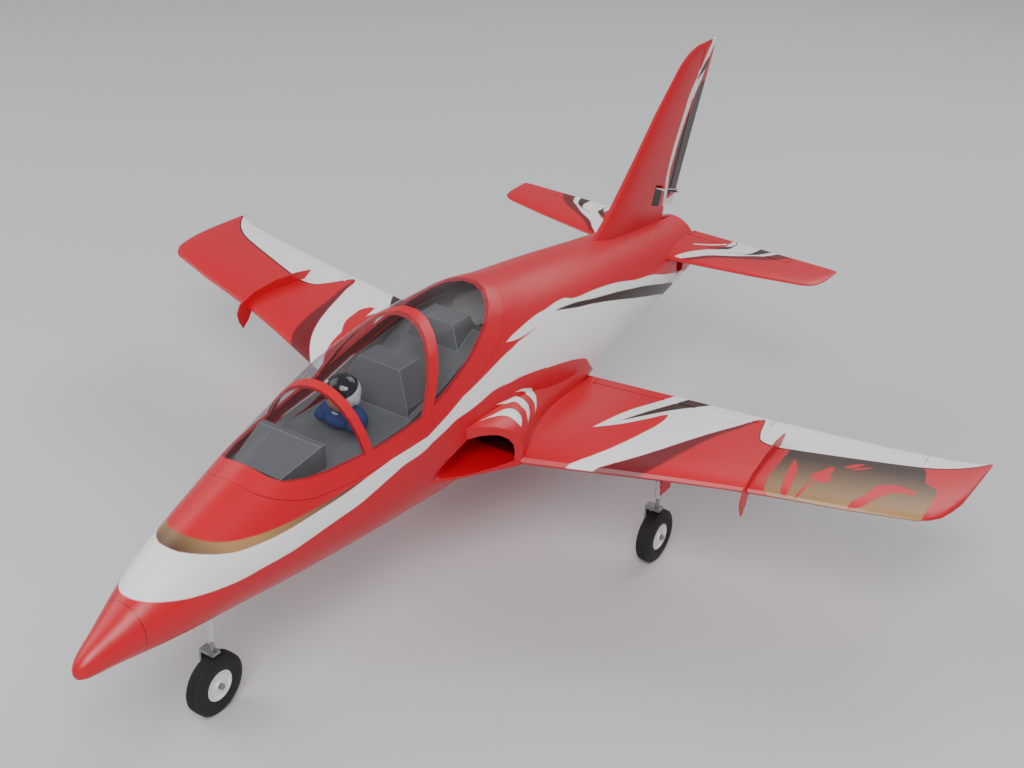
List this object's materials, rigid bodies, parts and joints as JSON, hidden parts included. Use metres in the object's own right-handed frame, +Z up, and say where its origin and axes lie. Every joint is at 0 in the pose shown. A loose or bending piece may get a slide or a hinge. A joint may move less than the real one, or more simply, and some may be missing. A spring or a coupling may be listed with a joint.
{
  "type": "model jet aeroplane",
  "caption": "Foam ducted-fan jet model with swept fin, side intakes, clear canopy with pilot, hinged control surfaces and folding sprung tricycle landing gear.",
  "frame": {"origin": "on the ground midway between nose tip and tail end, in the plane of symmetry, with the three wheels standing on z = 0", "axes": "+Y towards the tail (the nose points along -Y), +X towards the plane's left wing tip, +Z up"},
  "size_m": [1.22, 1.28, 0.53],
  "materials": {
    "red_foam": "satin",
    "clear_canopy": "gloss",
    "grey_tub": "matte",
    "pilot_paint": "satin",
    "carbon": "satin",
    "dark_red_foam": "satin",
    "black_plastic": "satin",
    "motor_metal": "satin",
    "tube_metal": "satin",
    "battery_wrap": "gloss",
    "circuit_case": "matte",
    "white_plastic": "satin",
    "bright_steel": "polished",
    "cast_grey": "satin",
    "tyre_rubber": "matte"
  },
  "bodies": {
    "airframe": {"nose_cone": "red_foam", "fuselage_left": "red_foam", "fuselage_right": "red_foam", "wing_left": "red_foam", "wing_right": "red_foam", "spar_tubes": "carbon", "wing_fences": "red_foam", "stabilizer_left": "red_foam", "stabilizer_right": "red_foam", "fin": "red_foam", "intake_duct": "dark_red_foam", "fan_housing": "black_plastic", "fan_motor": "motor_metal", "thrust_tube": "tube_metal", "battery": "battery_wrap", "speed_controller": "circuit_case", "receiver": "circuit_case", "servos": "black_plastic", "retract_units": "black_plastic"},
    "canopy": {"canopy_frame": "red_foam", "canopy_glass": "clear_canopy", "cockpit_tub": "grey_tub", "pilot": "pilot_paint"},
    "fan": {"fan_rotor": "black_plastic"},
    "aileron_left": {"aileron_left": "red_foam"},
    "servo_arm_aileron_left": {"servo_arm_aileron_left": "white_plastic"},
    "pushrod_aileron_left": {"pushrod_aileron_left": "bright_steel"},
    "aileron_right": {"aileron_right": "red_foam"},
    "servo_arm_aileron_right": {"servo_arm_aileron_right": "white_plastic"},
    "pushrod_aileron_right": {"pushrod_aileron_right": "bright_steel"},
    "flap_left": {"flap_left": "red_foam"},
    "servo_arm_flap_left": {"servo_arm_flap_left": "white_plastic"},
    "pushrod_flap_left": {"pushrod_flap_left": "bright_steel"},
    "flap_right": {"flap_right": "red_foam"},
    "servo_arm_flap_right": {"servo_arm_flap_right": "white_plastic"},
    "pushrod_flap_right": {"pushrod_flap_right": "bright_steel"},
    "elevator_left": {"elevator_left": "red_foam"},
    "servo_arm_elevator_left": {"servo_arm_elevator_left": "white_plastic"},
    "pushrod_elevator_left": {"pushrod_elevator_left": "bright_steel"},
    "elevator_right": {"elevator_right": "red_foam"},
    "servo_arm_elevator_right": {"servo_arm_elevator_right": "white_plastic"},
    "pushrod_elevator_right": {"pushrod_elevator_right": "bright_steel"},
    "rudder": {"rudder": "red_foam"},
    "servo_arm_rudder": {"servo_arm_rudder": "white_plastic"},
    "pushrod_rudder": {"pushrod_rudder": "bright_steel"},
    "main_leg_left": {"main_strut_left": "bright_steel", "main_door_left": "red_foam"},
    "main_slider_left": {"main_fork_left": "cast_grey"},
    "main_wheel_left": {"main_hub_left": "white_plastic", "main_tyre_left": "tyre_rubber"},
    "main_leg_right": {"main_strut_right": "bright_steel", "main_door_right": "red_foam"},
    "main_slider_right": {"main_fork_right": "cast_grey"},
    "main_wheel_right": {"main_hub_right": "white_plastic", "main_tyre_right": "tyre_rubber"},
    "nose_leg": {"nose_trunnion": "cast_grey"},
    "nose_steering": {"nose_strut": "bright_steel"},
    "nose_slider": {"nose_fork": "cast_grey"},
    "nose_wheel": {"nose_hub": "white_plastic", "nose_tyre": "tyre_rubber"}
  },
  "joints": [
    {"name": "canopy_lift", "type": "slide", "parent": "airframe", "child": "canopy", "axis": [0, 0, 1], "range_m": [0, 0.08]},
    {"name": "fan_spin", "type": "hinge", "parent": "airframe", "child": "fan", "pos_m": [0, 0.131, 0.226], "axis": [0, 1, 0], "continuous": true},
    {"name": "aileron_left_hinge", "type": "hinge", "parent": "airframe", "child": "aileron_left", "pos_m": [0.43921, 0.20308, 0.19681], "axis": [0.9914, 0.1259, 0.0357], "range_deg": [-25, 25]},
    {"name": "servo_arm_aileron_left_turn", "type": "hinge", "parent": "airframe", "child": "servo_arm_aileron_left", "pos_m": [0.44677, 0.14356, 0.19681], "axis": [0.9914, 0.1259, 0.0357], "range_deg": [-25, 25]},
    {"name": "pushrod_aileron_left_pin", "type": "hinge", "parent": "aileron_left", "child": "pushrod_aileron_left", "pos_m": [0.43971, 0.20314, 0.18282], "axis": [0.9914, 0.1259, 0.0357], "range_deg": [-25, 25]},
    {"name": "aileron_right_hinge", "type": "hinge", "parent": "airframe", "child": "aileron_right", "pos_m": [-0.43921, 0.20308, 0.19681], "axis": [0.9914, -0.1259, -0.0357], "range_deg": [-25, 25]},
    {"name": "servo_arm_aileron_right_turn", "type": "hinge", "parent": "airframe", "child": "servo_arm_aileron_right", "pos_m": [-0.44677, 0.14356, 0.19681], "axis": [0.9914, -0.1259, -0.0357], "range_deg": [-25, 25]},
    {"name": "pushrod_aileron_right_pin", "type": "hinge", "parent": "aileron_right", "child": "pushrod_aileron_right", "pos_m": [-0.43971, 0.20314, 0.18282], "axis": [0.9914, -0.1259, -0.0357], "range_deg": [-25, 25]},
    {"name": "flap_left_hinge", "type": "hinge", "parent": "airframe", "child": "flap_left", "pos_m": [0.2013, 0.17453, 0.18825], "axis": [-0.9927, -0.1149, -0.0357], "range_deg": [0, 40]},
    {"name": "servo_arm_flap_left_turn", "type": "hinge", "parent": "airframe", "child": "servo_arm_flap_left", "pos_m": [0.20544, 0.13876, 0.18825], "axis": [-0.9927, -0.1149, -0.0357], "range_deg": [0, 40]},
    {"name": "pushrod_flap_left_pin", "type": "hinge", "parent": "flap_left", "child": "pushrod_flap_left", "pos_m": [0.2018, 0.17458, 0.17426], "axis": [-0.9927, -0.1149, -0.0357], "range_deg": [-40, 0]},
    {"name": "flap_right_hinge", "type": "hinge", "parent": "airframe", "child": "flap_right", "pos_m": [-0.2013, 0.17453, 0.18825], "axis": [-0.9927, 0.1149, 0.0357], "range_deg": [0, 40]},
    {"name": "servo_arm_flap_right_turn", "type": "hinge", "parent": "airframe", "child": "servo_arm_flap_right", "pos_m": [-0.20544, 0.13876, 0.18825], "axis": [-0.9927, 0.1149, 0.0357], "range_deg": [0, 40]},
    {"name": "pushrod_flap_right_pin", "type": "hinge", "parent": "flap_right", "child": "pushrod_flap_right", "pos_m": [-0.2018, 0.17458, 0.17426], "axis": [-0.9927, 0.1149, 0.0357], "range_deg": [-40, 0]},
    {"name": "elevator_left_hinge", "type": "hinge", "parent": "airframe", "child": "elevator_left", "pos_m": [0.07, 0.538, 0.256], "axis": [1, 0, 0], "range_deg": [-22, 22]},
    {"name": "servo_arm_elevator_left_turn", "type": "hinge", "parent": "airframe", "child": "servo_arm_elevator_left", "pos_m": [0.07, 0.49, 0.256], "axis": [1, 0, 0], "range_deg": [-22, 22]},
    {"name": "pushrod_elevator_left_pin", "type": "hinge", "parent": "elevator_left", "child": "pushrod_elevator_left", "pos_m": [0.07, 0.538, 0.242], "axis": [1, 0, 0], "range_deg": [-22, 22]},
    {"name": "elevator_right_hinge", "type": "hinge", "parent": "airframe", "child": "elevator_right", "pos_m": [-0.07, 0.538, 0.256], "axis": [1, 0, 0], "range_deg": [-22, 22]},
    {"name": "servo_arm_elevator_right_turn", "type": "hinge", "parent": "airframe", "child": "servo_arm_elevator_right", "pos_m": [-0.07, 0.49, 0.256], "axis": [1, 0, 0], "range_deg": [-22, 22]},
    {"name": "pushrod_elevator_right_pin", "type": "hinge", "parent": "elevator_right", "child": "pushrod_elevator_right", "pos_m": [-0.07, 0.538, 0.242], "axis": [1, 0, 0], "range_deg": [-22, 22]},
    {"name": "rudder_hinge", "type": "hinge", "parent": "airframe", "child": "rudder", "pos_m": [0, 0.53068, 0.32259], "axis": [0, 0.3373, 0.9414], "range_deg": [-30, 30]},
    {"name": "servo_arm_rudder_turn", "type": "hinge", "parent": "airframe", "child": "servo_arm_rudder", "pos_m": [0, 0.49302, 0.33609], "axis": [0, 0.3373, 0.9414], "range_deg": [-30, 30]},
    {"name": "pushrod_rudder_pin", "type": "hinge", "parent": "rudder", "child": "pushrod_rudder", "pos_m": [0.014, 0.53068, 0.32259], "axis": [0, 0.3373, 0.9414], "range_deg": [-30, 30]},
    {"name": "main_retract_left", "type": "hinge", "parent": "airframe", "child": "main_leg_left", "pos_m": [0.245, 0.104, 0.182], "axis": [0, 1, 0], "range_deg": [0, 87]},
    {"name": "main_suspension_left", "type": "slide", "parent": "main_leg_left", "child": "main_slider_left", "axis": [0, 0, 1], "range_m": [0, 0.008], "stiffness_N_per_m": 2500, "springref_m": -0.004},
    {"name": "main_wheel_left_roll", "type": "hinge", "parent": "main_slider_left", "child": "main_wheel_left", "pos_m": [0.245, 0.104, 0.036], "axis": [1, 0, 0], "continuous": true},
    {"name": "main_retract_right", "type": "hinge", "parent": "airframe", "child": "main_leg_right", "pos_m": [-0.245, 0.104, 0.182], "axis": [0, -1, 0], "range_deg": [0, 87]},
    {"name": "main_suspension_right", "type": "slide", "parent": "main_leg_right", "child": "main_slider_right", "axis": [0, 0, 1], "range_m": [0, 0.008], "stiffness_N_per_m": 2500, "springref_m": -0.004},
    {"name": "main_wheel_right_roll", "type": "hinge", "parent": "main_slider_right", "child": "main_wheel_right", "pos_m": [-0.245, 0.104, 0.036], "axis": [1, 0, 0], "continuous": true},
    {"name": "nose_retract", "type": "hinge", "parent": "airframe", "child": "nose_leg", "pos_m": [0, -0.453, 0.178], "axis": [1, 0, 0], "range_deg": [0, 87]},
    {"name": "nose_steer", "type": "hinge", "parent": "nose_leg", "child": "nose_steering", "pos_m": [0, -0.453, 0.165], "axis": [0, 0, 1], "range_deg": [-15, 15]},
    {"name": "nose_suspension", "type": "slide", "parent": "nose_steering", "child": "nose_slider", "axis": [0, 0, 1], "range_m": [0, 0.008], "stiffness_N_per_m": 2500, "springref_m": -0.004},
    {"name": "nose_wheel_roll", "type": "hinge", "parent": "nose_slider", "child": "nose_wheel", "pos_m": [0, -0.453, 0.038], "axis": [1, 0, 0], "continuous": true}
  ],
  "couplings": [
    {"joint": "servo_arm_aileron_left_turn", "follows": "aileron_left_hinge", "ratio": 1},
    {"joint": "pushrod_aileron_left_pin", "follows": "aileron_left_hinge", "ratio": -1},
    {"joint": "aileron_right_hinge", "follows": "aileron_left_hinge", "ratio": -1},
    {"joint": "servo_arm_aileron_right_turn", "follows": "aileron_left_hinge", "ratio": -1},
    {"joint": "pushrod_aileron_right_pin", "follows": "aileron_left_hinge", "ratio": 1},
    {"joint": "servo_arm_flap_left_turn", "follows": "flap_left_hinge", "ratio": 1},
    {"joint": "pushrod_flap_left_pin", "follows": "flap_left_hinge", "ratio": -1},
    {"joint": "flap_right_hinge", "follows": "flap_left_hinge", "ratio": 1},
    {"joint": "servo_arm_flap_right_turn", "follows": "flap_left_hinge", "ratio": 1},
    {"joint": "pushrod_flap_right_pin", "follows": "flap_left_hinge", "ratio": -1},
    {"joint": "servo_arm_elevator_left_turn", "follows": "elevator_left_hinge", "ratio": 1},
    {"joint": "pushrod_elevator_left_pin", "follows": "elevator_left_hinge", "ratio": -1},
    {"joint": "elevator_right_hinge", "follows": "elevator_left_hinge", "ratio": 1},
    {"joint": "servo_arm_elevator_right_turn", "follows": "elevator_left_hinge", "ratio": 1},
    {"joint": "pushrod_elevator_right_pin", "follows": "elevator_left_hinge", "ratio": -1},
    {"joint": "servo_arm_rudder_turn", "follows": "rudder_hinge", "ratio": 1},
    {"joint": "pushrod_rudder_pin", "follows": "rudder_hinge", "ratio": -1},
    {"joint": "main_retract_right", "follows": "main_retract_left", "ratio": 1},
    {"joint": "nose_retract", "follows": "main_retract_left", "ratio": 1},
    {"joint": "nose_steer", "follows": "rudder_hinge", "ratio": -0.5}
  ]
}
